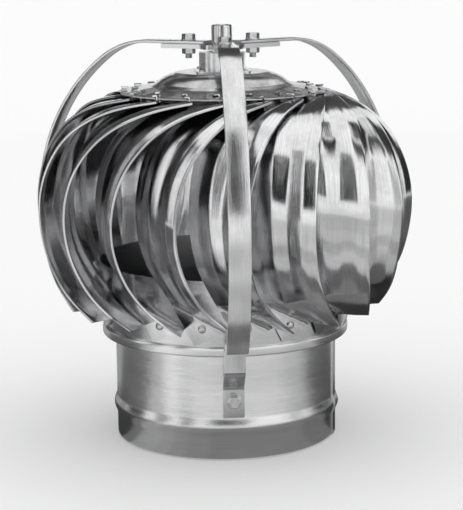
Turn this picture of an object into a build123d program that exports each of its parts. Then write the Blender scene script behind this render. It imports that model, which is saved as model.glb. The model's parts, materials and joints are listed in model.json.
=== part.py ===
from build123d import *
from math import atan2, cos, degrees, radians, sin
import os

# Rotating chimney cowl: a vaned rotor hangs on a ball bearing from a fixed spindle, which three
# straps carry from the flue collar. Origin at the centre of the collar's lower rim, +Z up.
# Azimuths are degrees seen from above, counter-clockwise from the front (-Y). Sizes are millimetres.

# --- sheet metal ---------------------------------------------------------------------------------
sheet = 0.8
running_gap = 0.35          # between the two rings of the bearing
seat_gap = 0.02             # radial room between a ring and its seat
hole_room = 0.1             # radial room of a screw or of the housing in its hole
lay_gap = 0.05              # between a part and the curved wall that it lies against

# --- flue collar ---------------------------------------------------------------------------------
collar_radius = 75.0
collar_height = 100.0
bead_low = 15.6             # pressed stop bead
bead_height = 13.4
bead_proud = 2.0

# --- rotor sleeve --------------------------------------------------------------------------------
sleeve_low_radius = collar_radius + 7.0     # the air gap around the collar
sleeve_top_radius = sleeve_low_radius + 3.3
sleeve_top = collar_height + 22.0
band_radius = sleeve_low_radius + 2.0
band_low = collar_height - 28.0             # how far the sleeve hangs over the collar
band_height = 6.2
band_top = band_low + band_height

# --- vanes ---------------------------------------------------------------------------------------
vane_count = 18
vane_phase = 3.1            # azimuth of the first vane's free edge at the widest height
vane_spacing = 360 / vane_count
tab_gap = 0.35              # tab corners stand off the sleeve, so their flats clear its curve
vane_top_tab_length = 5.0
vane_top_tab_rise = 4.4
top_tab_places = (0.2, 0.42)    # along the vane's top end, as shares of its width
slot_room = 0.5

# Section of the strip: corners as shares of its width from the free edge, and their heights.
pleat_places = (0.0, 0.19, 0.43, 0.65, 0.85, 1.0)
pleat_heights = (0.0, 1.6, 0.2, 1.9, 0.8, 1.6)
pleat_fade = 0.15           # share of the length over which the pleats flatten towards each end
end_pleat_depth = 0.4       # what is left of them at the ends
tab_corner = 2              # the crease of the foot starts at this corner of the section
tab_apex = 0.155            # and reaches the inner edge at this share of the length
tab_foot_width = 24.5
tab_lean = 26.0             # of the strip's foot, from upright
vane_bays = 8               # straight bays along the strip above the tab

# Edges of one vane, bottom to top, as (radius beyond the collar, azimuth from the vane's own zero,
# height above the band). The heights are drawn for a rotor of drawn_height and stretch with it.
drawn_height = 156.9
free_edge = [
    (30.2, 17.6, 11.8),
    (40.9, 7.2, 30.3),
    (49.0, 1.0, 55.8),
    (52.0, -0.5, 81.8),
    (48.2, 0.9, 106.8),
    (34.8, 6.8, 132.8),
    (17.2, 17.5, 147.8),
    (-1.4, 38.0, 155.6),
]
inner_edge = [
    (7.5, -0.4, 1.0),
    (9.7, -10.2, 28.8),
    (21.8, -16.3, 55.8),
    (27.2, -18.4, 80.8),
    (26.5, -18.2, 103.8),
    (16.0, -15.6, 131.8),
    (-5.0, -9.0, 147.3),
    (-35.0, 11.0, 154.3),
]

# --- top plate and bearing housing ---------------------------------------------------------------
plate_radius = collar_radius - 5.0
plate_rim_top = band_top + 157.7
skirt_inner_radius = collar_radius - 31.0
skirt_rise = 3.9            # of the skirt, from its rim to its inner radius
dome_foot_radius = collar_radius - 27.0
dome_foot_top = plate_rim_top + 3.3
dome_flat_radius = collar_radius - 44.0
dome_top = dome_foot_top + 8.8
dome_edge_round = 6.0

bearing_outer_radius = 14.0
housing_radius = bearing_outer_radius + 1.5
housing_low = dome_top - 8.0
housing_high = housing_low + 21.0
housing_lip_radius = bearing_outer_radius - 4.0
housing_flange = 2 * housing_radius + 5.0
housing_flange_thickness = 1.2
flange_corner = 4.0

bearing_bore_radius = 6.0   # double-row ball bearing, closed by its shields
bearing_width = 18.5
bearing_inner_land = 8.5
bearing_low = housing_low + 1.0

# --- spindle and bracket -------------------------------------------------------------------------
spindle_radius = bearing_bore_radius + 1.0
spindle_reach = 13.0        # above the bracket
spindle_thread_radius = bearing_bore_radius - 1.0
spindle_nut_flats = 17.0
spindle_nut_height = 8.0
spindle_washer_radius = 8.3
spindle_washer_thickness = 1.6
spindle_chamfer = 1.0
spindle_end_play = 2.0                  # thread standing out of the nut

bracket_low = housing_high + 2.0
bracket_thickness = 3.0
bracket_hub_radius = 15.0
bracket_arm_width = 16.0
bracket_arm_reach = 42.0

# --- straps --------------------------------------------------------------------------------------
strap_width = 14.0
strap_thickness = 2.0
strap_azimuths = {"strap_front": 0, "strap_rear_right": 120, "strap_rear_left": 240}
strap_inner_end = 11.0
strap_flat_reach = collar_radius - 20.0
strap_shoulder_bend = (58.0, 36.0)      # radius and turn of each bend, from the top down
strap_crown_bend = (128.0, 54.0)
strap_belly_bend = (105.0, 40.0)
strap_return_bend = (8.0, 50.0)
strap_standing_radius = band_radius + 5.0   # where it passes the rotor's band
foot_low = bead_low + bead_height + 0.6
foot_bolt_height = foot_low + 11.4
strap_joggle_foot = foot_bolt_height + 9.6
strap_joggle_top = strap_joggle_foot + 11.4
strap_joggle_bend = 5.0

# --- M5 fasteners --------------------------------------------------------------------------------
bolt_radius = 2.5
bolt_flats = 8.0
bolt_head = 3.5
nut_height = 4.0
washer_radius = 5.0
washer_thickness = 1.0
strap_bolt_radius = 25.0
bolt_end_play = 3.0                     # thread standing out of the nut

os.makedirs("parts", exist_ok=True)


def on_cylinder(radius, azimuth, height):
    """Point at an azimuth counted from the front."""
    turn = radians(azimuth)
    return Vector(radius * sin(turn), -radius * cos(turn), height)


def edge_point(beyond_collar, azimuth, above_band):
    """Point of a vane's edge, from its row in the lists of sizes."""
    stretch = (plate_rim_top - sheet - band_top) / drawn_height
    return on_cylinder(collar_radius + beyond_collar, azimuth, band_top + above_band * stretch)


def outward_plane(radius, azimuth, height):
    """Plane on a wall: its z axis points away from the spindle, its y axis up."""
    turn = radians(azimuth)
    return Plane(on_cylinder(radius, azimuth, height), x_dir=(cos(turn), sin(turn), 0),
                 z_dir=(sin(turn), -cos(turn), 0))


def turned(part, azimuth):
    return part.rotate(Axis.Z, azimuth)


def save(part, name):
    part.label = name
    export_step(part, f"parts/{name}.step")


def ring(inner, outer, low, height):
    """Plain ring about the spindle."""
    with BuildPart() as made:
        with BuildSketch(Plane.XY.offset(low)):
            Circle(outer)
            Circle(inner, mode=Mode.SUBTRACT)
        extrude(amount=height)
    return made.part


# --- flue collar ---------------------------------------------------------------------------------
bolt_azimuths = list(strap_azimuths.values())
collar_wall = collar_radius - sheet
bead_high = bead_low + bead_height
bead_ramp = bead_height / 4
with BuildPart() as base_collar:
    with BuildSketch(Plane.XZ):
        with BuildLine():
            Polyline(
                (collar_wall, 0),
                (collar_radius, 0),
                (collar_radius, bead_low),
                (collar_radius + bead_proud, bead_low + bead_ramp),
                (collar_radius + bead_proud, bead_high - bead_ramp),
                (collar_radius, bead_high),
                (collar_radius, collar_height),
                (collar_wall, collar_height),
                (collar_wall, bead_high),
                (collar_wall + bead_proud, bead_high - bead_ramp),
                (collar_wall + bead_proud, bead_low + bead_ramp),
                (collar_wall, bead_low),
                close=True,
            )
        make_face()
    revolve(axis=Axis.Z)
    for azimuth in bolt_azimuths:
        with BuildSketch(outward_plane(collar_wall - bolt_radius, azimuth, foot_bolt_height)):
            Circle(bolt_radius + hole_room)
        extrude(amount=2 * bolt_radius, mode=Mode.SUBTRACT)
save(base_collar.part, "base_collar")

# --- straps --------------------------------------------------------------------------------------
bracket_top = bracket_low + bracket_thickness
strap_middle = bracket_top + lay_gap + strap_thickness / 2
foot_middle = collar_radius + lay_gap + strap_thickness / 2
with BuildPart() as strap:
    with BuildSketch(Plane.YZ.offset(-strap_width / 2)):
        with BuildLine() as strap_line:
            top = Line((-strap_inner_end, strap_middle), (-strap_flat_reach, strap_middle))
            shoulder = JernArc(top @ 1, top % 1, *strap_shoulder_bend)
            crown = JernArc(shoulder @ 1, shoulder % 1, *strap_crown_bend)
            belly = JernArc(crown @ 1, crown % 1, *strap_belly_bend)
            tuck = JernArc(belly @ 1, belly % 1, *strap_return_bend)
            FilletPolyline(
                tuck @ 1,
                (-strap_standing_radius, (tuck @ 1).Y),
                (-strap_standing_radius, strap_joggle_top),
                (-foot_middle, strap_joggle_foot),
                (-foot_middle, foot_low),
                radius=strap_joggle_bend,
            )
        trace(line_width=strap_thickness)
    extrude(amount=strap_width)
    with BuildSketch(Plane.XY.offset(bracket_top)):
        with Locations((0, -strap_bolt_radius)):
            Circle(bolt_radius + hole_room)
    extrude(amount=2 * strap_thickness, mode=Mode.SUBTRACT)
    with BuildSketch(outward_plane(collar_radius, 0, foot_bolt_height)):
        Circle(bolt_radius + hole_room)
    extrude(amount=2 * strap_thickness, mode=Mode.SUBTRACT)
for name, azimuth in strap_azimuths.items():
    save(turned(strap.part, azimuth), name)

# --- spider bracket ------------------------------------------------------------------------------
with BuildPart() as spider_bracket:
    with BuildSketch(Plane.XY.offset(bracket_low)) as bracket_outline:
        Circle(bracket_hub_radius)
        with PolarLocations(bracket_arm_reach / 2, len(bolt_azimuths), start_angle=-90):
            Rectangle(bracket_arm_reach, bracket_arm_width)
        Circle(spindle_radius + seat_gap, mode=Mode.SUBTRACT)
        with PolarLocations(strap_bolt_radius, len(bolt_azimuths), start_angle=-90):
            Circle(bolt_radius + hole_room, mode=Mode.SUBTRACT)
    extrude(amount=bracket_thickness)
save(spider_bracket.part, "spider_bracket")


# --- bolts, washers and nuts of the straps -------------------------------------------------------
def hex_bolt(plane, grip):
    """Bolt whose head bears on the plane; grip is what it clamps, nut included."""
    with BuildPart() as made:
        with BuildSketch(plane):
            RegularPolygon(bolt_flats / 2, 6, major_radius=False)
        extrude(amount=bolt_head)
        with BuildSketch(plane):
            Circle(bolt_radius)
        extrude(amount=-(grip + bolt_end_play))
    return made.part


def hex_nut(plane, flats, height, bore):
    """Nut that bears on the plane and stands along its z axis."""
    with BuildPart() as made:
        with BuildSketch(plane):
            RegularPolygon(flats / 2, 6, major_radius=False)
            Circle(bore, mode=Mode.SUBTRACT)
        extrude(amount=height)
    return made.part


def washer(plane, outer, bore, thickness):
    """Washer that bears on the plane and stands along its z axis."""
    with BuildPart() as made:
        with BuildSketch(plane):
            Circle(outer)
            Circle(bore, mode=Mode.SUBTRACT)
        extrude(amount=thickness)
    return made.part


def save_set(part, name):
    """One solid for each strap, kept in one node."""
    copies = [turned(part, azimuth) for azimuth in bolt_azimuths]
    save(Compound(children=copies), name)


bolt_bore = bolt_radius + seat_gap
strap_face = outward_plane(foot_middle + strap_thickness / 2 + lay_gap, 0, foot_bolt_height)
# A flat washer or nut inside the round collar touches it at its rim, so it stands off by the sagitta.
nut_corner = bolt_flats / 2 / cos(radians(30))
nut_stand_off = collar_wall - (collar_wall**2 - nut_corner**2) ** 0.5
nut_face = outward_plane(collar_wall - lay_gap - nut_stand_off, 0, foot_bolt_height)
inward_face = Plane(nut_face.origin, x_dir=nut_face.x_dir, z_dir=-nut_face.z_dir)
foot_head_face = strap_face.offset(washer_thickness)
foot_grip = (foot_head_face.origin - inward_face.origin).length + nut_height
save_set(hex_bolt(foot_head_face, foot_grip), "foot_bolts")
save_set(washer(strap_face, washer_radius, bolt_bore, washer_thickness), "foot_washers")
save_set(hex_nut(inward_face, bolt_flats, nut_height, bolt_bore), "foot_nuts")

strap_top = strap_middle + strap_thickness / 2
over_strap = Plane((0, -strap_bolt_radius, strap_top), z_dir=(0, 0, 1))
strap_head_face = over_strap.offset(washer_thickness)
under_arm = Plane((0, -strap_bolt_radius, bracket_low), z_dir=(0, 0, -1))
strap_grip = strap_top + washer_thickness - bracket_low + nut_height
save_set(hex_bolt(strap_head_face, strap_grip), "strap_bolts")
save_set(washer(over_strap, washer_radius, bolt_bore, washer_thickness), "strap_washers")
save_set(hex_nut(under_arm, bolt_flats, nut_height, bolt_bore), "strap_nuts")

# --- spindle -------------------------------------------------------------------------------------
bearing_top = bearing_low + bearing_width
spindle_washer_low = bearing_low - spindle_washer_thickness
spindle_nut_low = spindle_washer_low - spindle_nut_height
spindle_low = spindle_nut_low - spindle_end_play
with BuildPart() as spindle:
    with BuildSketch(Plane.XY.offset(spindle_low)):
        Circle(spindle_thread_radius)
    extrude(amount=bearing_low - spindle_low)
    with BuildSketch(Plane.XY.offset(bearing_low)):
        Circle(bearing_bore_radius - seat_gap)
    extrude(amount=bearing_top - bearing_low)
    with BuildSketch(Plane.XY.offset(bearing_top)):
        Circle(spindle_radius)
    extrude(amount=bracket_top + spindle_reach - bearing_top)
    chamfer(spindle.edges().group_by(Axis.Z)[-1], spindle_chamfer)
save(spindle.part, "spindle")

below_bearings = Plane((0, 0, bearing_low), z_dir=(0, 0, -1))
thread_bore = spindle_thread_radius + seat_gap
save(washer(below_bearings, spindle_washer_radius, thread_bore, spindle_washer_thickness),
     "spindle_washer")
save(hex_nut(below_bearings.offset(spindle_washer_thickness), spindle_nut_flats,
             spindle_nut_height, thread_bore), "spindle_nut")

# --- bearing: the inner ring stays on the spindle, the outer one carries the rotor ---------------
save(ring(bearing_bore_radius, bearing_inner_land, bearing_low, bearing_width), "bearing_inner_ring")
save(ring(bearing_inner_land + running_gap, bearing_outer_radius - seat_gap, bearing_low, bearing_width),
     "bearing_outer_ring")

# --- bearing housing -----------------------------------------------------------------------------
housing_bore = bearing_outer_radius
with BuildPart() as bearing_housing:
    with BuildSketch(Plane.XY.offset(housing_low)):
        Circle(housing_radius)
    extrude(amount=housing_high - housing_low)
    with BuildSketch(Plane.XY.offset(dome_top)):
        RectangleRounded(housing_flange, housing_flange, flange_corner)
    extrude(amount=housing_flange_thickness)
    with BuildSketch(Plane.XY.offset(housing_low)):
        Circle(housing_bore)
    extrude(amount=bearing_top - housing_low, mode=Mode.SUBTRACT)
    with BuildSketch(Plane.XY.offset(housing_low)):
        Circle(housing_lip_radius)
    extrude(amount=housing_high - housing_low, mode=Mode.SUBTRACT)
save(bearing_housing.part, "bearing_housing")


# --- rotor: top plate with its pressed dome ------------------------------------------------------
def top_tab_plane(share):
    """Level plane through a vane's top end, a share of its width in from the free edge."""
    outer = edge_point(*free_edge[-1])
    across = edge_point(*inner_edge[-1]) - outer
    level = Vector(across.X, across.Y, 0)
    setback = Vector(-across.Y, across.X, 0).normalized() * sheet
    return Plane(outer + across * share + setback + Vector(0, 0, sheet / 2), x_dir=level, z_dir=(0, 0, 1))


def skirt(low):
    """Solid under the plate's skirt, which is pressed flat behind each pair of slots."""
    facet_middle = top_tab_plane(sum(top_tab_places) / len(top_tab_places)).origin
    corner = degrees(atan2(facet_middle.Y, facet_middle.X)) + vane_phase + vane_spacing / 2
    with BuildPart() as made:
        with BuildSketch(Plane.XY.offset(low)):
            RegularPolygon(plate_radius, vane_count, rotation=corner)
        with BuildSketch(Plane.XY.offset(low + skirt_rise)):
            RegularPolygon(skirt_inner_radius, vane_count, rotation=corner)
        loft(ruled=True)
        with BuildSketch(Plane.XY.offset(low)):
            RegularPolygon(plate_radius, vane_count, rotation=corner)
        extrude(amount=-sheet)
    return made.part


dome_hole = housing_radius + hole_room
with BuildPart() as rotor_top_plate:
    add(skirt(plate_rim_top))
    add(skirt(plate_rim_top - sheet), mode=Mode.SUBTRACT)
    with BuildSketch(Plane.XY.offset(plate_rim_top - sheet)):
        Circle(dome_foot_radius - 2 * sheet)
    extrude(amount=dome_top - plate_rim_top, mode=Mode.SUBTRACT)
    with BuildSketch(Plane.XZ):
        with BuildLine():
            FilletPolyline(
                (dome_hole, dome_top - sheet / 2),
                (dome_flat_radius, dome_top - sheet / 2),
                (dome_foot_radius, dome_foot_top - sheet / 2),
                radius=dome_edge_round,
            )
        trace(line_width=sheet)
    revolve(axis=Axis.Z)
    for number in range(vane_count):
        turn = Location((0, 0, 0), (0, 0, vane_phase + number * vane_spacing))
        for share in top_tab_places:
            with BuildSketch(Plane(turn * top_tab_plane(share).location)):
                Rectangle(vane_top_tab_length + 2 * slot_room, sheet + 2 * slot_room)
            extrude(amount=2 * vane_top_tab_rise, mode=Mode.SUBTRACT)
save(rotor_top_plate.part, "rotor_top_plate")

# --- rotor: sleeve with its rolled band ----------------------------------------------------------
sleeve_flare = (sleeve_top_radius - sleeve_low_radius) / (sleeve_top - band_top)


def sleeve_radius(height):
    return sleeve_low_radius + (height - band_top) * sleeve_flare


with BuildPart() as rotor_sleeve:
    with BuildSketch(Plane.XZ):
        with BuildLine():
            Polyline(
                (band_radius - 2 * sheet, band_low),
                (band_radius, band_low),
                (band_radius, band_top),
                (sleeve_low_radius, band_top),
                (sleeve_top_radius, sleeve_top),
                (sleeve_top_radius - sheet, sleeve_top),
                (sleeve_low_radius - sheet, band_top),
                close=True,
            )
        make_face()
    revolve(axis=Axis.Z)
save(rotor_sleeve.part, "rotor_sleeve")

# --- vanes ---------------------------------------------------------------------------------------
# A vane is a pleated strip rolled lengthwise. Its foot is creased from corner to corner, so that a
# three-cornered tab lies on the sleeve while the rest stands out from it.
with BuildLine():
    free_line = Spline([edge_point(*point) for point in free_edge])
with BuildLine():
    inner_line = Spline([edge_point(*point) for point in inner_edge])


def along(line, share):
    """Point at a share of the line's length."""
    return line.position_at(share * line.length, position_mode=PositionMode.LENGTH)


def heading(line, share):
    return line.tangent_at(share * line.length, position_mode=PositionMode.LENGTH)


def section_at(share):
    """Plane square to the strip, and the section's corners on it from the free edge in."""
    outer = along(free_line, share)
    inner = along(inner_line, share)
    run = heading(free_line, share) + heading(inner_line, share)
    across = inner - outer
    plane = Plane(outer, x_dir=across, z_dir=across.cross(run).cross(across))
    from_end = min(1, (share - tab_apex) / pleat_fade, (1 - share) / pleat_fade)
    depth = end_pleat_depth + (1 - end_pleat_depth) * from_end
    corners = [(across.length * place, depth * height)
               for place, height in zip(pleat_places, pleat_heights)]
    return plane, corners


def foot_section_at(crease_place):
    """The same across the foot, where all corners past the crease lie on the sleeve."""
    tab_part = (1 - crease_place) / (1 - pleat_places[tab_corner])
    share = tab_apex * (1 - tab_part)
    outer = along(free_line, share)
    edge = along(inner_line, share)
    edge_azimuth = degrees(atan2(edge.X, -edge.Y))
    tab_width = tab_part * tab_foot_width
    rise = tab_width * sin(radians(tab_lean))
    turn = degrees(tab_width * cos(radians(tab_lean)) / sleeve_radius(edge.Z))

    def on_sleeve(part):
        height = edge.Z + part * rise
        return on_cylinder(sleeve_radius(height) + tab_gap, edge_azimuth + part * turn, height)

    crease = on_sleeve(1)
    across = on_sleeve(0) - outer
    plane = Plane(outer, x_dir=across, z_dir=(crease - outer).cross(across))
    corners = []
    for place, height in zip(pleat_places, pleat_heights):
        if place < crease_place:
            local = plane.to_local_coords(outer + (crease - outer) * (place / crease_place))
            corners.append((local.X, local.Y + end_pleat_depth * height))
        else:
            local = plane.to_local_coords(on_sleeve((1 - place) / (1 - crease_place)))
            corners.append((local.X, local.Y))
    return plane, corners


def outline_of(plane, corners):
    """Corners of the sheet's cross-section in space: its inner face, then its outer face back."""
    outer_face = [(x, y + sheet) for x, y in reversed(corners)]
    return [plane.from_local_coords((x, y, 0)) for x, y in corners + outer_face]


def panels_between(before, after):
    """Flat three-cornered panels that join two outlines of the folded sheet."""
    panels = []
    for corner in range(len(before)):
        beside = (corner + 1) % len(before)
        panels.append(Face(Polyline(before[corner], before[beside], after[beside], close=True)))
        panels.append(Face(Polyline(before[corner], after[beside], after[corner], close=True)))
    return panels


sections = [foot_section_at(place) for place in pleat_places[tab_corner:-1]]
sections += [section_at(tab_apex + (1 - tab_apex) * number / vane_bays)
             for number in range(vane_bays + 1)]
outlines = [outline_of(*section) for section in sections]
skin = [Face(Polyline(*end, close=True)) for end in (outlines[0], outlines[-1])]
for before, after in zip(outlines, outlines[1:]):
    skin += panels_between(before, after)
with BuildPart() as vane:
    add(Solid(Shell(skin)))
    for share in top_tab_places:
        with BuildSketch(top_tab_plane(share)):
            Rectangle(vane_top_tab_length, sheet)
        extrude(amount=vane_top_tab_rise)
for number in range(vane_count):
    azimuth = vane_phase + number * vane_spacing
    save(turned(vane.part, azimuth), f"vane_{number + 1:02d}")
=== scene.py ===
import json
from math import atan2, cos, degrees, hypot, pi, radians, sin, tan

import bpy
import numpy as np
from mathutils import Matrix, Vector


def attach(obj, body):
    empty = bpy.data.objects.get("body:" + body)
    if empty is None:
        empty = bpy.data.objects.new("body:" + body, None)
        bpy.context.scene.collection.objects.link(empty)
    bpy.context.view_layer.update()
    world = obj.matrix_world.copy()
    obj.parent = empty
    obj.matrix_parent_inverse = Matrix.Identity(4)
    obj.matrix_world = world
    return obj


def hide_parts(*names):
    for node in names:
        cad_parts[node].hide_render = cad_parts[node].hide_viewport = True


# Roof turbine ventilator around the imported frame. The scene is in metres, with the origin at the
# centre of the collar's lower rim and +Z up; the sizes of the product below are in millimetres.
# Azimuths are degrees seen from above, counter-clockwise from the front (-Y).
MM = 0.001

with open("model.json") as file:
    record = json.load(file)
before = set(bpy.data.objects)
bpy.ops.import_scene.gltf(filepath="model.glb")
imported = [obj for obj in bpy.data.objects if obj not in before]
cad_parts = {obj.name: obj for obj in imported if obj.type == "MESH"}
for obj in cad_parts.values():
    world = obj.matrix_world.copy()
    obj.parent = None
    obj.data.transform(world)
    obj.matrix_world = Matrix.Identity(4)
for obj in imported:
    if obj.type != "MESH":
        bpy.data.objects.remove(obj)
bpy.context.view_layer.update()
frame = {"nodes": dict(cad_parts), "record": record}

# --- sizes: collar and sleeve ---------------------------------------------------------------------
SHEET = 0.8
LAY_GAP = 0.05              # between a part and the wall that it lies against
COLLAR_RADIUS = 75.0
COLLAR_HEIGHT = 100.0
BEAD_LOW = 15.6             # pressed stop bead
BEAD_HIGH = BEAD_LOW + 13.4
BEAD_PROUD = 2.0
BEAD_FULLNESS = 0.75        # below 1 makes it fuller than a wave
BEAD_STEPS = 10
LAP_ARC = (70, 79)          # azimuths of the collar's lap seam
LAP_THICKNESS = 0.8
LAP_LOW = 0.4               # its lower end, above the collar's rim
LAP_GAP = 0.01
SEAM_AZIMUTH = 74           # where a turned sheet's texture starts, under the lap
SLEEVE_LOW_RADIUS = COLLAR_RADIUS + 7.0
SLEEVE_TOP_RADIUS = SLEEVE_LOW_RADIUS + 3.3
SLEEVE_TOP = COLLAR_HEIGHT + 22.0
BAND_RADIUS = SLEEVE_LOW_RADIUS + 2.0
BAND_LOW = COLLAR_HEIGHT - 28.0
BAND_HIGH = BAND_LOW + 6.2
BAND_FLATNESS = 0.2         # 1 would make the rolled band half round, 0 square
BAND_END_ANGLE = 84
SLEEVE_FLARE = (SLEEVE_TOP_RADIUS - SLEEVE_LOW_RADIUS) / (SLEEVE_TOP - BAND_HIGH)

# --- sizes: vanes ---------------------------------------------------------------------------------
VANE_COUNT = 18
VANE_SPACING = 360 / VANE_COUNT
VANE_PHASE = 3.1            # azimuth of the first vane's own zero
STRIP_WIDTH = 43.5          # along the section at mid height
PLEAT_PLACES = (0.0, 0.19, 0.43, 0.65, 0.85, 1.0)
PLEAT_HEIGHTS = (0.0, 1.6, 0.2, 1.9, 0.8, 1.6)
PLEAT_FADE = 0.15           # share of the length over which the pleats flatten towards each end
END_PLEAT_DEPTH = 0.4
CREASE_ROUND = 1.3
CREASE_START = 0.43         # the foot's crease starts at this share of the width
TAB_APEX = 0.155            # and reaches the inner edge at this share of the length
TAB_FOOT_WIDTH = 24.5
TAB_LEAN = 26.0
TAB_GAP = 0.35
TAB_SPRING = 0.9            # how much further off the sleeve the foot tab's tip stands
HEM_WIDTH = 2.2             # the free edge is folded inward, which doubles the sheet
HEM_EDGE = 0.4
HEM_COLUMNS = 3             # points of the section that lie on the hem
HEM_ROUND = 0.75            # thickness of the fold's outer edge, as a share of the doubled sheet
INNER_MARGIN = 2.4
VANE_INSET = 0.2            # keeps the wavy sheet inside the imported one's reach
FOOT_STATIONS = 9
STRIP_STATIONS = 56
VANE_GRAIN = (0.43, 1.9)    # texture's size across and along a vane, and its shift at each vane
VANE_GRAIN_SHIFT = (0.61, 1.37)

# Waves of the rolled sheet: their share of the depth, how fast they run along and across it, and
# their shift from vane to vane.
WAVE_DEPTH = 0.1
WAVE_FADE = 0.1
WAVES = [(1.0, 9.1, 2.0, 2.3), (0.7, 17.3, -3.7, 1.1), (0.5, 31.0, 5.1, 4.9)]

# Edges of one vane, bottom to top, as (radius beyond the collar, azimuth from the vane's own zero,
# height above the band).
FREE_EDGE = [
    (30.2, 17.6, 11.8), (40.9, 7.2, 30.3), (49.0, 1.0, 55.8), (52.0, -0.5, 81.8),
    (48.2, 0.9, 106.8), (34.8, 6.8, 132.8), (17.2, 17.5, 147.8), (-1.4, 38.0, 155.6),
]
INNER_EDGE = [
    (7.5, -0.4, 1.0), (9.7, -10.2, 28.8), (21.8, -16.3, 55.8), (27.2, -18.4, 80.8),
    (26.5, -18.2, 103.8), (16.0, -15.6, 131.8), (-5.0, -9.0, 147.3), (-35.0, 11.0, 154.3),
]

# --- sizes: top plate and hub ---------------------------------------------------------------------
SKIRT_RIM = BAND_HIGH + 157.7
SKIRT_RISE = 3.9
SKIRT_RADIUS = COLLAR_RADIUS - 5.0
SKIRT_INNER_RADIUS = COLLAR_RADIUS - 31.0
TOP_TAB_PLACES = (0.2, 0.42)    # along the vane's top end, as shares of its width
TOP_TAB_LENGTH = 5.0
TOP_TAB_LIFT = 0.75         # of the folded tab over the skirt
TOP_TAB_FOLD = 3.0
TOP_TAB_BEND = 0.7
TOP_TAB_ROOT = 0.6          # how far the tab starts below the vane's top edge
TOP_TAB_DROOP = 0.3
TOP_TAB_TAPER = 0.8         # how much each side draws in at the tip
DOME_TOP = SKIRT_RIM + 12.1
DOME_SHOULDER = [           # radius, and depth below the dome's top
    (48.0, 8.7), (47.0, 8.5), (45.6, 7.7), (43.6, 6.2), (41.2, 4.4),
    (38.4, 2.8), (35.2, 1.5), (31.6, 0.7), (27.0, 0.2), (15.7, 0.0),
]
SHOULDER_THICKNESS = 0.25
SHOULDER_DRAFT = 0.03
HOUSING_FLANGE = 36.0
HOUSING_FLANGE_THICKNESS = 1.2
HOUSING_TOP = DOME_TOP + 13.0
BEARING_LOW = DOME_TOP - 7.0
BEARING_WIDTH = 18.5
BRACKET_LOW = HOUSING_TOP + 2.0
BRACKET_TOP = BRACKET_LOW + 3.0

SPINDLE_RADIUS = 7.0
SPINDLE_TOP = BRACKET_TOP + 13.0
SPINDLE_LOW = BEARING_LOW - 11.6
SPINDLE_SEAT_RADIUS = 5.98
SPINDLE_THREAD_RADIUS = 5.0
SPINDLE_THREAD_PITCH = 1.25
SPINDLE_THREAD_DEPTH = 0.5
SPINDLE_CHAMFER = 0.9
SPINDLE_RECESS_RADIUS = 4.6
SPINDLE_RECESS_DEPTH = 0.7
SPINDLE_CAP_RADIUS = 0.4    # of the flat discs that close the bar's two ends

# --- sizes: fasteners and straps ------------------------------------------------------------------
BOLT_RADIUS = 2.5
BOLT_FLATS = 8.0
BOLT_HEAD = 3.5
BOLT_END_PLAY = 3.0         # thread standing out of the nut
BOLT_THREAD_PITCH = 0.8
BOLT_THREAD_DEPTH = 0.35
NUT_HEIGHT = 4.0
HEAD_CHAMFER = 0.45
NUT_CHAMFER = 0.4
CHAMFER_CIRCLE = 0.86       # of a chamfered hexagon's end, as a share of its corners' radius
WASHER_RADIUS = 5.0
WASHER_THICKNESS = 1.0
WASHER_EDGE = 0.2
SEAT_GAP = 0.02             # under a washer and above a nut
NUT_GAP = 0.2               # between a nut and the collar's curved wall
RIVET_SINK = 0.3
RIVET_SIDES = 20
TAB_RIVET_RADIUS, TAB_RIVET_HEAD = 2.7, 1.5
TAB_RIVET_AZIMUTH = 3.0     # from the vane's own zero
TAB_RIVET_HEIGHT = BAND_HIGH + 12.3
FLANGE_RIVET_RADIUS, FLANGE_RIVET_HEAD = 2.0, 1.1
FLANGE_RIVET_PLACE = HOUSING_FLANGE / 2 - 3.6

STRAP_WIDTH = 14.0
STRAP_THICKNESS = 2.0
STRAP_EDGE = 0.55           # rounding of its long edges
STRAP_AZIMUTHS = {"strap_front": 0, "strap_rear_right": 120, "strap_rear_left": 240}
STRAP_INNER_END = 11.0
STRAP_FLAT_REACH = COLLAR_RADIUS - 20.0
STRAP_BOLT_RADIUS = 25.0
STRAP_MIDDLE = BRACKET_TOP + LAY_GAP + STRAP_THICKNESS / 2
STRAP_BENDS = [(58.0, 36.0), (128.0, 54.0), (105.0, 40.0), (8.0, 50.0)]     # radius and turn
STRAP_STANDING = BAND_RADIUS + 5.0
FOOT_MIDDLE = COLLAR_RADIUS + LAY_GAP + STRAP_THICKNESS / 2
FOOT_LOW = BEAD_HIGH + 0.6
FOOT_BOLT_HEIGHT = FOOT_LOW + 11.4
JOGGLE_FOOT = FOOT_BOLT_HEIGHT + 9.6
JOGGLE_TOP = JOGGLE_FOOT + 11.4
JOGGLE_BEND = 5.0
BEND_STEP = 2.5             # degrees between the points of a strap's bends
JOGGLE_STEPS = 6
GRAIN_ALONG = 100.0         # length of bar or sheet that one tile of brushing spans
GRAIN_ACROSS = 50.0

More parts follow.
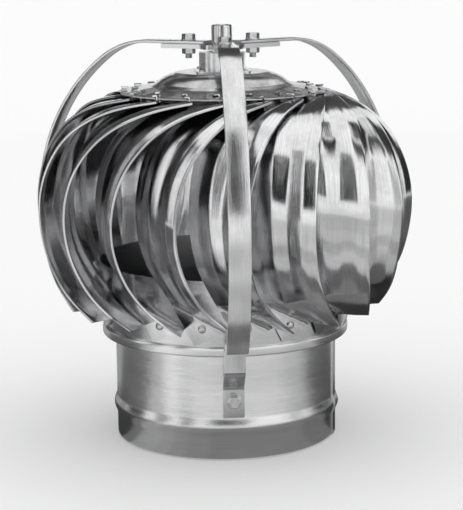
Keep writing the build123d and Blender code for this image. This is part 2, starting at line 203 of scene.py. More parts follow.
# --- stage and camera, in metres and degrees ------------------------------------------------------
# Grey screens that only the metal sees: azimuths, elevations and grey. Between them it mirrors the
# white room. On the floor each ring's grey is multiplied by the share of each sector.
SCREEN_CENTRE = Vector((0, 0, 0.17))
SCREEN_RADIUS = 2.0
SCREEN_SPACING = 0.02       # each screen is this much nearer than the one before
SCREENS = [
    ((-166, -126), (-4, 44), 0.1),
    ((-122, -94), (-4, 60), 0.03),
    ((-80, -64), (-4, 60), 0.25),
    ((-50, -38), (-4, 66), 0.1),
    ((-20, 3.0), (9, 56), 0.01),
    ((5.4, 18), (9, 56), 0.01),
    ((60, 84), (36, 64), 0.04),
    ((64, 80), (-4, 30), 0.5),
    ((92, 132), (-4, 56), 0.03),
    ((152, 212), (14, 53), 0.06),
]
SCREEN_STEPS = 12
FLOOR_RINGS = [
    ((0.0755, 0.13), 0.34), ((0.13, 0.178), 0.2), ((0.178, 0.25), 0.66), ((0.25, 0.34), 0.52),
    ((0.34, 0.5), 0.7), ((0.5, 0.8), 0.62), ((0.8, 1.7), 0.6),
]
FLOOR_SECTORS = [
    ((-180, -128), 0.6), ((-128, -78), 0.2), ((-78, -66), 0.8), ((-66, -48), 1.6),
    ((-48, -38), 1.4), ((-38, -28), 1.2), ((-28, -14), 1.05), ((-14, 50), 0.95),
    ((50, 78), 0.75), ((78, 128), 0.15), ((128, 180), 0.6),
]
FLOOR_SCREEN_HEIGHT = 0.001
FLOOR_SCREEN_STEPS = 24
BRIGHTEST_SCREEN = 0.95
FLOOR_REACH = 40.0
FLOOR_GREY = 0.9
ROOM_STRENGTH = 1.08

CAMERA_DISTANCE, CAMERA_HEIGHT, CAMERA_AZIMUTH, CAMERA_ROLL = 1.150, 0.348, -3.8, -0.6
AIM_HEIGHT, AIM_SIDE = 0.1225, 0.0049
PICTURE_HEIGHT, FOCAL_PIXELS, SENSOR_HEIGHT = 510, 1715, 36.0


# --- geometry helpers -----------------------------------------------------------------------------
def on_cylinder(radius, azimuth, height):
    turn = radians(azimuth)
    return Vector((radius * sin(turn), -radius * cos(turn), height))


def edge_point(beyond_collar, azimuth, above_band):
    """Point of a vane's edge, from its row in the lists of sizes."""
    return on_cylinder(COLLAR_RADIUS + beyond_collar, azimuth, BAND_HIGH + above_band)


def sleeve_radius(height):
    return SLEEVE_LOW_RADIUS + (height - BAND_HIGH) * SLEEVE_FLARE


def vane_turn(number):
    """Turn that takes the drawn vane to its place in the ring."""
    return Matrix.Rotation(radians(VANE_PHASE + number * VANE_SPACING), 3, "Z")


def add_mesh(name, points, faces, material, body, uvs=None, crease_angle=35):
    """Mesh object from points in millimetres, smooth with its corners sharp, riding on a body."""
    mesh = bpy.data.meshes.new(name)
    mesh.from_pydata([tuple(MM * value for value in point) for point in points], [], faces)
    if uvs is not None:
        layer = mesh.uv_layers.new(name="UVMap")
        for loop in mesh.loops:
            layer.data[loop.index].uv = uvs[loop.vertex_index]
    mesh.validate()
    mesh.shade_smooth()
    mesh.set_sharp_from_angle(angle=radians(crease_angle))
    mesh.materials.append(material)
    piece = bpy.data.objects.new(name, mesh)
    bpy.context.scene.collection.objects.link(piece)
    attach(piece, body)
    return piece


def smooth_line(points, stations):
    """Natural cubic spline through the points, sampled at shares of its length."""
    knots = np.array([tuple(point) for point in points])
    steps = np.linalg.norm(np.diff(knots, axis=0), axis=1)
    at = np.concatenate([[0.0], np.cumsum(steps)])
    count = len(knots)
    system = np.eye(count)
    right = np.zeros_like(knots)
    for index in range(1, count - 1):
        before, after = steps[index - 1], steps[index]
        system[index, index - 1:index + 2] = before, 2 * (before + after), after
        right[index] = 6 * ((knots[index + 1] - knots[index]) / after
                            - (knots[index] - knots[index - 1]) / before)
    curvature = np.linalg.solve(system, right)

    def place(distance):
        span = min(max(int(np.searchsorted(at, distance)) - 1, 0), count - 2)
        width = steps[span]
        low, high = (at[span + 1] - distance) / width, (distance - at[span]) / width
        bend = (low**3 - low) * curvature[span] + (high**3 - high) * curvature[span + 1]
        return low * knots[span] + high * knots[span + 1] + bend * width**2 / 6

    fine_steps = 600
    fine = np.array([place(distance) for distance in np.linspace(0, at[-1], fine_steps)])
    run = np.concatenate([[0.0], np.cumsum(np.linalg.norm(np.diff(fine, axis=0), axis=1))])
    distances = np.array(stations) * run[-1]
    spots = [np.interp(distances, run, fine[:, axis]) for axis in range(3)]
    return [Vector(spot) for spot in zip(*spots)]


def grid_faces(rows, columns, closed_columns=False, closed_rows=False):
    faces = []
    for row in range(rows if closed_rows else rows - 1):
        after = (row + 1) % rows
        for column in range(columns if closed_columns else columns - 1):
            beside = (column + 1) % columns
            faces.append((row * columns + column, row * columns + beside,
                          after * columns + beside, after * columns + column))
    return faces


def tube_faces(rows, columns):
    """Faces of a closed section that is carried along a path, with a cap at each end."""
    last = (rows - 1) * columns
    caps = [tuple(reversed(range(columns))), tuple(range(last, last + columns))]
    return grid_faces(rows, columns, closed_columns=True) + caps


def lathe(name, profile, material, body, segments=192,
          arc=(SEAM_AZIMUTH, SEAM_AZIMUTH + 360)):
    """Closed outline of (radius, height) points turned about the spindle, all round or in part."""
    whole = arc[1] - arc[0] == 360
    rows = segments if whole else segments + 1
    lengths = [0.0]
    for before, after in zip(profile, profile[1:]):
        lengths.append(lengths[-1] + hypot(after[0] - before[0], after[1] - before[1]))
    points, uvs = [], []
    for row in range(rows):
        azimuth = arc[0] + (arc[1] - arc[0]) * row / segments
        for (radius, height), length in zip(profile, lengths):
            points.append(on_cylinder(radius, azimuth, height))
            uvs.append((azimuth / 360, length / GRAIN_ALONG))
    if whole:
        faces = grid_faces(rows, len(profile), closed_columns=True, closed_rows=True)
    else:
        faces = tube_faces(rows, len(profile))
    return add_mesh(name, points, faces, material, body, uvs)


def placed(name, shapes, places, material, body, crease_angle=35):
    """Turned or prismatic shapes, each (outline, sides), repeated at every (origin, axis) place."""
    points, faces = [], []
    for origin, axis in places:
        axis = axis.normalized()
        side = axis.cross(Vector((0, 0, 1)))
        side = side.normalized() if side.length > 0.01 else Vector((1, 0, 0))
        up = axis.cross(side)
        for outline, sides in shapes:
            first = len(points)
            for step in range(sides):
                turn = 2 * pi * step / sides
                out = side * cos(turn) + up * sin(turn)
                points += [origin + out * radius + axis * length for radius, length in outline]
            for face in grid_faces(sides, len(outline), closed_rows=True):
                faces.append(tuple(first + index for index in face))
            ring = [first + step * len(outline) for step in range(sides)]
            faces.append(tuple(reversed(ring)))
            faces.append(tuple(index + len(outline) - 1 for index in ring))
    return add_mesh(name, points, faces, material, body, crease_angle=crease_angle)


# --- materials ------------------------------------------------------------------------------------
def steel(name, light, dark, roughness, spread, streaks, brush_scale, brush_depth, stain,
          coordinate="UV"):
    """Bright sheet steel: fine brushing, uneven polish and faint stains, all from noise."""
    material = bpy.data.materials.new(name)
    material.use_nodes = True
    nodes, links = material.node_tree.nodes, material.node_tree.links
    shader = nodes["Principled BSDF"]
    shader.inputs["Metallic"].default_value = 1.0
    place = nodes.new("ShaderNodeTexCoord")

    def noise(scale, detail, stretch, offset=0.0):
        mapping = nodes.new("ShaderNodeMapping")
        mapping.inputs["Scale"].default_value = stretch
        mapping.inputs["Location"].default_value = (offset, offset, offset)
        links.new(place.outputs[coordinate], mapping.inputs["Vector"])
        texture = nodes.new("ShaderNodeTexNoise")
        texture.inputs["Scale"].default_value = scale
        texture.inputs["Detail"].default_value = detail
        texture.inputs["Roughness"].default_value = 0.6
        links.new(mapping.outputs["Vector"], texture.inputs["Vector"])
        return texture.outputs["Fac"]

    def ramp(source, stops):
        node = nodes.new("ShaderNodeValToRGB")
        for element, (at, value) in zip(node.color_ramp.elements, stops):
            element.position = at
            element.color = (value, value, value, 1)
        links.new(source, node.inputs["Fac"])
        return node.outputs["Color"]

    def cool_grey(value):
        return (value, value, value * 1.01, 1)

    brushed = noise(brush_scale, 4, streaks)
    cloudy = noise(3.0, 5, (1, 1, 1), 7.3)
    tone = nodes.new("ShaderNodeMix")
    tone.data_type = "RGBA"
    tone.inputs["A"].default_value = cool_grey(dark)
    tone.inputs["B"].default_value = cool_grey(light)
    links.new(ramp(brushed, ((0.3, 0.0), (0.7, 1.0))), tone.inputs["Factor"])
    colour = tone
    if stain:
        colour = nodes.new("ShaderNodeMix")
        colour.data_type = "RGBA"
        colour.blend_type = "MULTIPLY"
        colour.inputs["Factor"].default_value = stain
        links.new(tone.outputs["Result"], colour.inputs["A"])
        links.new(ramp(cloudy, ((0.42, 0.45), (0.56, 1.0))), colour.inputs["B"])
    links.new(colour.outputs["Result"], shader.inputs["Base Color"])
    polish = nodes.new("ShaderNodeMapRange")
    polish.inputs["From Min"].default_value = 0.3
    polish.inputs["From Max"].default_value = 0.7
    polish.inputs["To Min"].default_value = roughness - spread
    polish.inputs["To Max"].default_value = roughness + spread
    links.new(cloudy, polish.inputs["Value"])
    links.new(polish.outputs["Result"], shader.inputs["Roughness"])
    bump = nodes.new("ShaderNodeBump")
    bump.inputs["Strength"].default_value = brush_depth
    bump.inputs["Distance"].default_value = 0.0002
    links.new(brushed, bump.inputs["Height"])
    links.new(bump.outputs["Normal"], shader.inputs["Normal"])
    return material


vane_metal = steel("vane_metal", light=0.88, dark=0.68, roughness=0.13, spread=0.05,
                   streaks=(60, 1.2, 1), brush_scale=3.0, brush_depth=0.25, stain=0.35)
sleeve_metal = steel("sleeve_metal", light=0.93, dark=0.82, roughness=0.24, spread=0.06,
                     streaks=(3, 40, 1), brush_scale=4.0, brush_depth=0.3, stain=0.3)
collar_metal = steel("collar_metal", light=0.88, dark=0.72, roughness=0.23, spread=0.05,
                     streaks=(2.5, 60, 1), brush_scale=5.0, brush_depth=0.35, stain=0.2)
strap_metal = steel("strap_metal", light=0.84, dark=0.66, roughness=0.18, spread=0.05,
                    streaks=(40, 1, 1), brush_scale=4.0, brush_depth=0.3, stain=0.25)
plate_metal = steel("plate_metal", light=0.66, dark=0.42, roughness=0.2, spread=0.06,
                    streaks=(30, 30, 30), brush_scale=4.0, brush_depth=0.3, stain=0.4,
                    coordinate="Object")
turned_metal = steel("turned_metal", light=0.92, dark=0.74, roughness=0.22, spread=0.05,
                     streaks=(1, 1, 400), brush_scale=6.0, brush_depth=0.3, stain=0.2,
                     coordinate="Object")
plated_metal = steel("plated_metal", light=0.85, dark=0.6, roughness=0.24, spread=0.06,
                     streaks=(90, 90, 90), brush_scale=4.0, brush_depth=0.3, stain=0.35,
                     coordinate="Object")
bearing_metal = steel("bearing_metal", light=0.6, dark=0.42, roughness=0.2, spread=0.05,
                      streaks=(1, 1, 300), brush_scale=5.0, brush_depth=0.2, stain=0.0,
                      coordinate="Object")

SLOT_MATERIALS = {
    "vane_steel": vane_metal, "plate_steel": plate_metal, "sleeve_steel": sleeve_metal,
    "collar_steel": collar_metal, "strap_steel": strap_metal, "housing_steel": turned_metal,
    "spindle_steel": turned_metal, "bearing_steel": bearing_metal,
    "fastener_steel": plated_metal,
}


def dress_frame():
    """Gives every CAD node that stays its own slot's detailed metal."""
    for part in frame["record"]["subparts"]:
        node = frame["nodes"][part["node"]]
        node.data.materials.clear()
        node.data.materials.append(SLOT_MATERIALS[part["material_slot"]])
        node.data.shade_smooth()
        node.data.set_sharp_from_angle(angle=radians(30))


# --- vanes ----------------------------------------------------------------------------------------
def vane_profile():
    """Section of the strip as (share of its width, pleat height). A crease has no point of its
    own, only points close on either side, which round it."""
    rounding = CREASE_ROUND / STRIP_WIDTH
    places = {edge / STRIP_WIDTH for edge in (0, HEM_EDGE, HEM_WIDTH, HEM_WIDTH + HEM_EDGE)}
    for crease in PLEAT_PLACES[1:-1]:
        places |= {crease - 2 * rounding, crease - rounding / 2,
                   crease + rounding / 2, crease + 2 * rounding}
    for before, after in zip(PLEAT_PLACES, PLEAT_PLACES[1:]):
        places.add((before + after) / 2)
    places |= {1 - INNER_MARGIN / STRIP_WIDTH, 1.0}
    places = sorted(places)
    return list(zip(places, np.interp(places, PLEAT_PLACES, PLEAT_HEIGHTS)))


PROFILE = vane_profile()


def sheet_faces(column):
    """How far the sheet's two faces stand from its line there; its free edge is folded double."""
    if column == 0:
        return HEM_ROUND * SHEET, -HEM_ROUND * SHEET
    return SHEET, -SHEET if column < HEM_COLUMNS else 0.0


def strip_row(outer, inner, run, depth):
    """Points of the strip's section, and the direction that its convex side faces."""
    across = inner - outer
    face = run.cross(across).normalized()
    return [outer + across * place + face * depth * height for place, height in PROFILE], face


def foot_row(crease_place, outer, edge):
    """The same across the foot, where all points past the crease lie on the sleeve."""
    tab_part = (1 - crease_place) / (1 - CREASE_START)
    edge_azimuth = degrees(atan2(edge.x, -edge.y))
    tab_width = tab_part * TAB_FOOT_WIDTH
    rise = tab_width * sin(radians(TAB_LEAN))
    turn = degrees(tab_width * cos(radians(TAB_LEAN)) / sleeve_radius(edge.z))

    def on_sleeve(part):
        height = edge.z + part * rise
        stand_off = TAB_GAP + TAB_SPRING * (1 - part)
        return on_cylinder(sleeve_radius(height) + stand_off, edge_azimuth + part * turn, height)

    crease = on_sleeve(1)
    across = on_sleeve(0) - outer
    face = (crease - outer).cross(across).cross(across).normalized()
    outward = Vector((crease.x, crease.y, 0)).normalized()
    if face.dot(outward) < 0:
        face = -face
    row = []
    for place, height in PROFILE:
        if place < crease_place:
            row.append(outer + (crease - outer) * (place / crease_place)
                       + face * END_PLEAT_DEPTH * height)
        else:
            row.append(on_sleeve((1 - place) / (1 - crease_place)))
    return row, face


def vane_rows():
    """Sections of the drawn vane from its foot to its top, and their shares of its length."""
    foot_shares = [TAB_APEX * number / FOOT_STATIONS for number in range(FOOT_STATIONS)]
    strip_shares = [TAB_APEX + (1 - TAB_APEX) * number / STRIP_STATIONS
                    for number in range(STRIP_STATIONS + 1)]
    shares = foot_shares + strip_shares
    free_line = smooth_line([edge_point(*row) for row in FREE_EDGE], shares)
    inner_line = smooth_line([edge_point(*row) for row in INNER_EDGE], shares)
    rows = []
    for number, share in enumerate(shares):
        outer, inner = free_line[number], inner_line[number]
        if share < TAB_APEX:
            crease_place = 1 - (1 - CREASE_START) * (1 - share / TAB_APEX)
            rows.append(foot_row(crease_place, outer, inner))
            continue
        before, after = max(number - 1, len(foot_shares)), min(number + 1, len(shares) - 1)
        run = free_line[after] - free_line[before] + inner_line[after] - inner_line[before]
        from_end = min(1, (share - TAB_APEX) / PLEAT_FADE, (1 - share) / PLEAT_FADE)
        depth = END_PLEAT_DEPTH + (1 - END_PLEAT_DEPTH) * from_end
        rows.append(strip_row(outer, inner, run.normalized(), depth))
    return rows, shares


def waviness(place, share, number):
    """How far a rolled sheet strays from its shape, in millimetres; each vane has its own."""
    if share < TAB_APEX:
        return 0.0
    fade = min(1.0, (share - TAB_APEX) / WAVE_FADE)
    return fade * WAVE_DEPTH * sum(
        height * sin(along * share + across * place + shift * number)
        for height, along, across, shift in WAVES)


def build_vanes():
    rows, shares = vane_rows()
    faces = tube_faces(len(rows), 2 * len(PROFILE))
    offsets = [sheet_faces(column) for column in range(len(PROFILE))]
    for number in range(VANE_COUNT):
        turn = vane_turn(number)
        points, uvs = [], []
        for (row, face), share in zip(rows, shares):
            sheet = [point + face * (waviness(place, share, number) - VANE_INSET)
                     for point, (place, _) in zip(row, PROFILE)]
            points += [point + face * convex for point, (convex, _) in zip(sheet, offsets)]
            points += [point + face * hollow for point, (_, hollow) in zip(sheet, offsets)][::-1]
            line = [(place * VANE_GRAIN[0] + number * VANE_GRAIN_SHIFT[0],
                     share * VANE_GRAIN[1] + number * VANE_GRAIN_SHIFT[1])
                    for place, _ in PROFILE]
            uvs += line + [(u + 0.5, v) for u, v in reversed(line)]
        name = f"vane_{number + 1:02d}"
        piece = add_mesh(f"{name}_sheet", [turn @ point for point in points], faces, vane_metal,
                         "rotor", uvs, crease_angle=50)
        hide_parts(name)


# --- straps ---------------------------------------------------------------------------------------
def strap_path():
    """Centre line of a strap in the plane of its radius and height, from the hub to its foot."""
    points = [(STRAP_INNER_END, STRAP_MIDDLE), (STRAP_FLAT_REACH, STRAP_MIDDLE)]
    heading = 0.0
    for radius, turn in STRAP_BENDS:
        start = points[-1]
        centre = (start[0] - radius * sin(radians(heading)),
                  start[1] - radius * cos(radians(heading)))
        steps = round(turn / BEND_STEP)
        for step in range(1, steps + 1):
            angle = radians(heading + turn * step / steps)
            points.append((centre[0] + radius * sin(angle), centre[1] + radius * cos(angle)))
        heading += turn
    corners = [points[-1], (STRAP_STANDING, points[-1][1]), (STRAP_STANDING, JOGGLE_TOP),
               (FOOT_MIDDLE, JOGGLE_FOOT), (FOOT_MIDDLE, FOOT_LOW)]
    for before, corner, after in zip(corners, corners[1:], corners[2:]):
        into = Vector((corner[0] - before[0], corner[1] - before[1])).normalized()
        out = Vector((after[0] - corner[0], after[1] - corner[1])).normalized()
        turn = into.angle(out)
        start = Vector(corner) - into * (JOGGLE_BEND * tan(turn / 2))
        side = Vector((-into.y, into.x))
        if side.dot(out) < 0:
            side = -side
        centre = start + side * JOGGLE_BEND
        for step in range(JOGGLE_STEPS + 1):
            angle = turn * step / JOGGLE_STEPS
            points.append(tuple(centre - side * JOGGLE_BEND * cos(angle)
                                + into * JOGGLE_BEND * sin(angle)))
    points.append(corners[-1])
    return [Vector(point) for point in points]


def strap_section():
    """Flat bar with rounded edges, as (across, outward) points."""
    half, face, cut = STRAP_WIDTH / 2, STRAP_THICKNESS / 2, 0.3 * STRAP_EDGE
    corner = [(half - STRAP_EDGE, face), (half - cut, face - cut), (half, face - STRAP_EDGE)]
    outer_left = [(-across, out) for across, out in reversed(corner)]
    inner_right = [(across, -out) for across, out in reversed(corner)]
    inner_left = [(-across, -out) for across, out in corner]
    return outer_left + [(0, face)] + corner + inner_right + inner_left


def build_straps():
    path, section = strap_path(), strap_section()
    points, uvs, run = [], [], 0.0
    for number, spot in enumerate(path):
        before, after = path[max(number - 1, 0)], path[min(number + 1, len(path) - 1)]
        along = (after - before).normalized()
        outward = Vector((-along.y, along.x))
        run += (spot - before).length
        for across, out in section:
            place = spot + outward * out
            points.append(Vector((across, -place.x, place.y)))
            uvs.append(((across + out) / GRAIN_ACROSS, run / GRAIN_ALONG))
    faces = tube_faces(len(path), len(section))
    for name, azimuth in STRAP_AZIMUTHS.items():
        turn = Matrix.Rotation(radians(azimuth), 3, "Z")
        piece = add_mesh(f"{name}_bar", [turn @ point for point in points], faces, strap_metal,
                         "base", uvs)
        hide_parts(name)


# --- collar and sleeve ----------------------------------------------------------------------------
def build_collar():
    """Rolled spigot with its bead, and the lap of its seam."""
    middle, half = (BEAD_LOW + BEAD_HIGH) / 2, (BEAD_HIGH - BEAD_LOW) / 2
    wall = []
    for step in range(BEAD_STEPS + 1):
        part = 2 * step / BEAD_STEPS - 1
        wave = (1 + cos(pi * part)) / 2
        wall.append((COLLAR_RADIUS + BEAD_PROUD * wave**BEAD_FULLNESS, middle + half * part))
    wall.append((COLLAR_RADIUS, COLLAR_HEIGHT))
    outer = [(COLLAR_RADIUS, 0.0)] + wall
    inner = [(radius - SHEET, height) for radius, height in reversed(outer)]
    piece = lathe("collar_sheet", outer + inner, collar_metal, "base")
    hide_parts("base_collar")
    line = [(COLLAR_RADIUS, LAP_LOW)] + wall
    lap = [(radius + LAP_THICKNESS, height) for radius, height in line]
    lap += [(radius + LAP_GAP, height) for radius, height in reversed(line)]
    lathe("collar_lap", lap, collar_metal, "base", 8, LAP_ARC)


def build_sleeve():
    """Flared sleeve with its rolled band."""
    middle, half = (BAND_LOW + BAND_HIGH) / 2, (BAND_HIGH - BAND_LOW) / 2
    inner = SLEEVE_LOW_RADIUS - SHEET
    bulge = BAND_RADIUS - SLEEVE_LOW_RADIUS
    rolled = [(SLEEVE_LOW_RADIUS + bulge * cos(radians(angle)) ** BAND_FLATNESS,
               middle + half * sin(radians(angle)))
              for angle in range(-BAND_END_ANGLE, BAND_END_ANGLE + 1, 12)]
    outline = [
        (SLEEVE_LOW_RADIUS, BAND_LOW), *rolled, (SLEEVE_LOW_RADIUS, BAND_HIGH),
        (SLEEVE_TOP_RADIUS, SLEEVE_TOP), (SLEEVE_TOP_RADIUS - SHEET, SLEEVE_TOP),
        (inner, BAND_HIGH), (inner, BAND_LOW),
    ]
    piece = lathe("sleeve_sheet", outline, sleeve_metal, "rotor")
    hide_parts("rotor_sleeve")


# --- top plate ------------------------------------------------------------------------------------
def build_dome():
    """Rounded shoulder of the dome, over the plainer one of the frame."""
    outer = [(radius, DOME_TOP - depth) for radius, depth in DOME_SHOULDER]
    under = [(radius - SHOULDER_DRAFT, height - SHOULDER_THICKNESS)
             for radius, height in reversed(outer)]
    lathe("dome_shoulder", outer + under, plate_metal, "rotor", 128)


def top_tab(foot, level, back):
    """Sections of a tab that stands up from its foot and is folded over towards the back, and
    where their corners lie on the sheet."""
    share = (SKIRT_RADIUS - hypot(foot.x, foot.y)) / (SKIRT_RADIUS - SKIRT_INNER_RADIUS)
    top = SKIRT_RIM + SKIRT_RISE * share + TOP_TAB_LIFT
    path = [(0.0, foot.z - TOP_TAB_ROOT), (0.0, top - TOP_TAB_BEND)]
    for angle in (22, 45, 68, 90):
        turn = radians(angle)
        path.append((TOP_TAB_BEND * (1 - cos(turn)), top - TOP_TAB_BEND * (1 - sin(turn))))
    path.append((TOP_TAB_FOLD, top - TOP_TAB_DROOP))
    points, on_sheet = [], []
    for number, (out, height) in enumerate(path):
        before, after = path[max(number - 1, 0)], path[min(number + 1, len(path) - 1)]
        along = Vector((after[0] - before[0], after[1] - before[1])).normalized()
        taper = TOP_TAB_TAPER if number == len(path) - 1 else 0.0
        for side, face in ((-1, -0.5), (-1, 0.5), (1, 0.5), (1, -0.5)):
            points.append(Vector((foot.x, foot.y, height - along.x * face * SHEET))
                          + back * (out + along.y * face * SHEET)
                          + level * side * (TOP_TAB_LENGTH / 2 - taper))
            on_sheet.append((side * TOP_TAB_LENGTH / 2, height + out))
    return points, on_sheet


def build_top_tabs():
    """Tabs of the vanes' top ends, up through the plate's slots and folded down on it."""
    outer, inner = edge_point(*FREE_EDGE[-1]), edge_point(*INNER_EDGE[-1])
    across = inner - outer
    level = Vector((across.x, across.y, 0)).normalized()
    back = Vector((-level.y, level.x, 0))
    points, faces, uvs = [], [], []
    for number in range(VANE_COUNT):
        turn = vane_turn(number)
        for place in TOP_TAB_PLACES:
            tab, on_sheet = top_tab(outer + across * place + back * SHEET, level, back)
            for face in tube_faces(len(tab) // 4, 4):
                faces.append(tuple(len(points) + index for index in face))
            points += [turn @ point for point in tab]
            uvs += [(wide / GRAIN_ALONG + 0.3 * number, far / GRAIN_ALONG)
                    for wide, far in on_sheet]
    add_mesh("vane_top_tabs", points, faces, vane_metal, "rotor", uvs)


# --- rivets, bolts and spindle --------------------------------------------------------------------
def domed(radius, height):
    """Outline of a rivet's snap head that stands on its origin."""
    return [(radius, -RIVET_SINK)] + [
        (radius * cos(radians(angle)), height * sin(radians(angle))) for angle in range(0, 89, 11)]


def build_rivets():
    """Rivets of the foot tabs and of the bearing's flange."""
    foot_radius = sleeve_radius(TAB_RIVET_HEIGHT) + TAB_GAP + SHEET + TAB_SPRING / 2
    tabs = []
    for number in range(VANE_COUNT):
        azimuth = VANE_PHASE + number * VANE_SPACING + TAB_RIVET_AZIMUTH
        tabs.append((on_cylinder(foot_radius, azimuth, TAB_RIVET_HEIGHT),
                     on_cylinder(1, azimuth, 0)))
    placed("tab_rivets", [(domed(TAB_RIVET_RADIUS, TAB_RIVET_HEAD), RIVET_SIDES)], tabs,
           plated_metal, "rotor")
    flange_top = DOME_TOP + HOUSING_FLANGE_THICKNESS
    ends = (-FLANGE_RIVET_PLACE, FLANGE_RIVET_PLACE)
    corners = [(Vector((x, y, flange_top)), Vector((0, 0, 1))) for x in ends for y in ends]
    placed("flange_rivets", [(domed(FLANGE_RIVET_RADIUS, FLANGE_RIVET_HEAD), RIVET_SIDES)],
           corners, plated_metal, "rotor")


def thread(radius, low, high, pitch, depth):
    """Outline of a threaded shank between two heights, its grooves as rings."""
    turns = round((high - low) / pitch)
    step = (high - low) / turns
    root = radius - depth
    outline = [(root, low)]
    for number in range(turns):
        start = low + number * step
        outline += [(root, start + 0.2 * step), (radius, start + 0.5 * step),
                    (root, start + 0.9 * step)]
    return outline + [(radius - 1.4 * depth, high)]


def hexagon(low, high, chamfer_low, chamfer_high):
    """Outline of a hexagon on the bolts' flats, to be turned in six steps."""
    corner = BOLT_FLATS / 2 / cos(radians(30))
    outline = [(corner, low)]
    if chamfer_low:
        outline = [(corner * CHAMFER_CIRCLE, low), (corner, low + chamfer_low)]
    return outline + [(corner, high - chamfer_high), (corner * CHAMFER_CIRCLE, high)]


def build_bolts():
    """Bolts, washers and nuts of the straps' feet and of their ends on the bracket."""
    foot_face = FOOT_MIDDLE + STRAP_THICKNESS / 2 + LAY_GAP
    nut_face = COLLAR_RADIUS - SHEET - NUT_GAP
    strap_top = STRAP_MIDDLE + STRAP_THICKNESS / 2
    azimuths = list(STRAP_AZIMUTHS.values())
    grips = {
        "foot": ([(on_cylinder(foot_face, azimuth, FOOT_BOLT_HEIGHT), on_cylinder(1, azimuth, 0))
                  for azimuth in azimuths], foot_face - nut_face),
        "strap": ([(on_cylinder(STRAP_BOLT_RADIUS, azimuth, strap_top), Vector((0, 0, 1)))
                   for azimuth in azimuths], strap_top - BRACKET_LOW),
    }
    washer = [(BOLT_RADIUS, SEAT_GAP), (WASHER_RADIUS - 0.15, SEAT_GAP),
              (WASHER_RADIUS, WASHER_EDGE), (WASHER_RADIUS, WASHER_THICKNESS - WASHER_EDGE),
              (WASHER_RADIUS - WASHER_EDGE, WASHER_THICKNESS), (BOLT_RADIUS, WASHER_THICKNESS)]
    head = hexagon(WASHER_THICKNESS, WASHER_THICKNESS + BOLT_HEAD, 0.0, HEAD_CHAMFER)
    for name, (places, grip) in grips.items():
        nut_low = -grip - NUT_HEIGHT
        shank = thread(BOLT_RADIUS, nut_low - BOLT_END_PLAY + 0.1, WASHER_THICKNESS,
                       BOLT_THREAD_PITCH, BOLT_THREAD_DEPTH)
        nut = hexagon(nut_low, -grip - SEAT_GAP, NUT_CHAMFER, NUT_CHAMFER)
        for part, shapes in (("bolts", [(head, 6), (shank, 24)]), ("washers", [(washer, 40)]),
                             ("nuts", [(nut, 6)])):
            piece = placed(f"{name}_{part}_set", shapes, places, plated_metal, "base",
                           crease_angle=28)
            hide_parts(f"{name}_{part}")


def build_spindle():
    seat_top = BEARING_LOW + BEARING_WIDTH
    outline = [
        (SPINDLE_CAP_RADIUS, SPINDLE_LOW), (SPINDLE_THREAD_RADIUS - 0.6, SPINDLE_LOW),
        *thread(SPINDLE_THREAD_RADIUS, SPINDLE_LOW + 0.4, BEARING_LOW - 0.5,
                SPINDLE_THREAD_PITCH, SPINDLE_THREAD_DEPTH),
        (SPINDLE_SEAT_RADIUS, BEARING_LOW), (SPINDLE_SEAT_RADIUS, seat_top),
        (SPINDLE_RADIUS, seat_top + 0.1), (SPINDLE_RADIUS, SPINDLE_TOP - SPINDLE_CHAMFER),
        (SPINDLE_RADIUS - SPINDLE_CHAMFER / 3, SPINDLE_TOP - SPINDLE_CHAMFER / 3),
        (SPINDLE_RADIUS - SPINDLE_CHAMFER, SPINDLE_TOP), (SPINDLE_RECESS_RADIUS, SPINDLE_TOP),
        (SPINDLE_RECESS_RADIUS - 0.5, SPINDLE_TOP - SPINDLE_RECESS_DEPTH),
        (SPINDLE_CAP_RADIUS, SPINDLE_TOP - SPINDLE_RECESS_DEPTH),
    ]
    piece = placed("spindle_bar", [(outline, 64)], [(Vector(), Vector((0, 0, 1)))], turned_metal,
                   "base", crease_angle=30)
    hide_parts("spindle")


# --- stage and camera -----------------------------------------------------------------------------
def plain_material(name, grey):
    material = bpy.data.materials.new(name)
    material.use_nodes = True
    shader = material.node_tree.nodes["Principled BSDF"]
    shader.inputs["Base Color"].default_value = (grey, grey, grey, 1)
    shader.inputs["Roughness"].default_value = 0.9
    shader.inputs["Specular IOR Level"].default_value = 0.2
    return material


def stage_sheet(name, points, faces, grey):
    mesh = bpy.data.meshes.new(name)
    mesh.from_pydata(points, [], faces)
    mesh.materials.append(plain_material(f"{name}_grey", grey))
    sheet = bpy.data.objects.new(name, mesh)
    bpy.context.scene.collection.objects.link(sheet)
    return sheet


def only_reflected(screen):
    screen.visible_camera = False
    screen.visible_diffuse = False
    screen.visible_shadow = False


def add_screen(name, azimuths, elevations, grey, radius):
    """Curved screen around the object, as round bright metal needs."""
    points = []
    for row in range(SCREEN_STEPS + 1):
        elevation = radians(elevations[0] + (elevations[1] - elevations[0]) * row / SCREEN_STEPS)
        for column in range(SCREEN_STEPS + 1):
            azimuth = azimuths[0] + (azimuths[1] - azimuths[0]) * column / SCREEN_STEPS
            direction = on_cylinder(cos(elevation), azimuth, sin(elevation))
            points.append(SCREEN_CENTRE + radius * direction)
    faces = grid_faces(SCREEN_STEPS + 1, SCREEN_STEPS + 1)
    only_reflected(stage_sheet(name, points, faces, grey))


def add_floor_screen(name, radii, azimuths, grey):
    """Piece of a ring around the object, just above the floor."""
    steps = FLOOR_SCREEN_STEPS
    points = [on_cylinder(radius, azimuths[0] + (azimuths[1] - azimuths[0]) * step / steps,
                          FLOOR_SCREEN_HEIGHT)
              for radius in radii for step in range(steps + 1)]
    only_reflected(stage_sheet(name, points, grid_faces(2, steps + 1), grey))


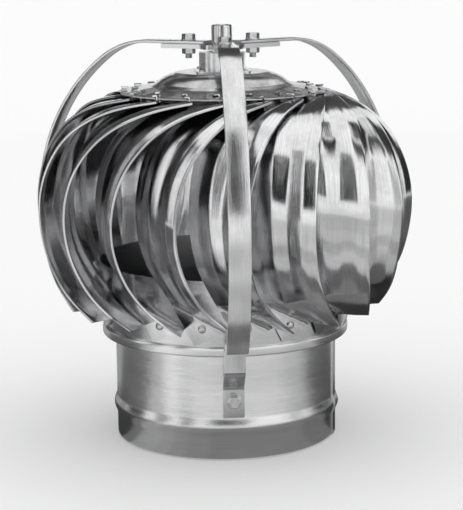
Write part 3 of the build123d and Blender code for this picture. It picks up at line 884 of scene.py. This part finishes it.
def build_stage():
    """Pale floor in a white room, and the screens that the metal mirrors."""
    corners = [(-FLOOR_REACH, -FLOOR_REACH, 0), (FLOOR_REACH, -FLOOR_REACH, 0),
               (FLOOR_REACH, FLOOR_REACH, 0), (-FLOOR_REACH, FLOOR_REACH, 0)]
    stage_sheet("floor", corners, [(0, 1, 2, 3)], FLOOR_GREY)
    world = bpy.data.worlds.new("studio")
    bpy.context.scene.world = world
    world.use_nodes = True
    background = world.node_tree.nodes["Background"]
    background.inputs["Color"].default_value = (1, 1, 1, 1)
    background.inputs["Strength"].default_value = ROOM_STRENGTH
    for number, (azimuths, elevations, grey) in enumerate(SCREENS):
        add_screen(f"flag_{number + 1}", azimuths, elevations, grey,
                   SCREEN_RADIUS - SCREEN_SPACING * number)
    for ring, (radii, tone) in enumerate(FLOOR_RINGS):
        for sector, (azimuths, share) in enumerate(FLOOR_SECTORS):
            add_floor_screen(f"floor_flag_{ring + 1}_{sector + 1}", radii, azimuths,
                             min(BRIGHTEST_SCREEN, tone * share))


def build_camera():
    """Camera at the photograph's viewing angle, a little above the rotor's middle."""
    turn = radians(CAMERA_AZIMUTH)
    place = on_cylinder(CAMERA_DISTANCE, CAMERA_AZIMUTH, CAMERA_HEIGHT)
    aim = Vector((0, 0, AIM_HEIGHT)) + Vector((cos(turn), sin(turn), 0)) * AIM_SIDE
    camera_data = bpy.data.cameras.new("camera")
    camera_data.sensor_fit = "VERTICAL"
    camera_data.sensor_height = SENSOR_HEIGHT
    camera_data.lens = FOCAL_PIXELS * SENSOR_HEIGHT / PICTURE_HEIGHT
    camera = bpy.data.objects.new("camera", camera_data)
    camera.location = place
    look = (aim - place).to_track_quat("-Z", "Y").to_matrix()
    camera.rotation_euler = (look @ Matrix.Rotation(radians(CAMERA_ROLL), 3, "Z")).to_euler()
    bpy.context.scene.collection.objects.link(camera)
    bpy.context.scene.camera = camera


dress_frame()
build_vanes()
build_straps()
build_collar()
build_sleeve()
build_dome()
build_top_tabs()
build_rivets()
build_bolts()
build_spindle()
build_stage()
build_camera()
bpy.context.scene.view_settings.view_transform = "Standard"
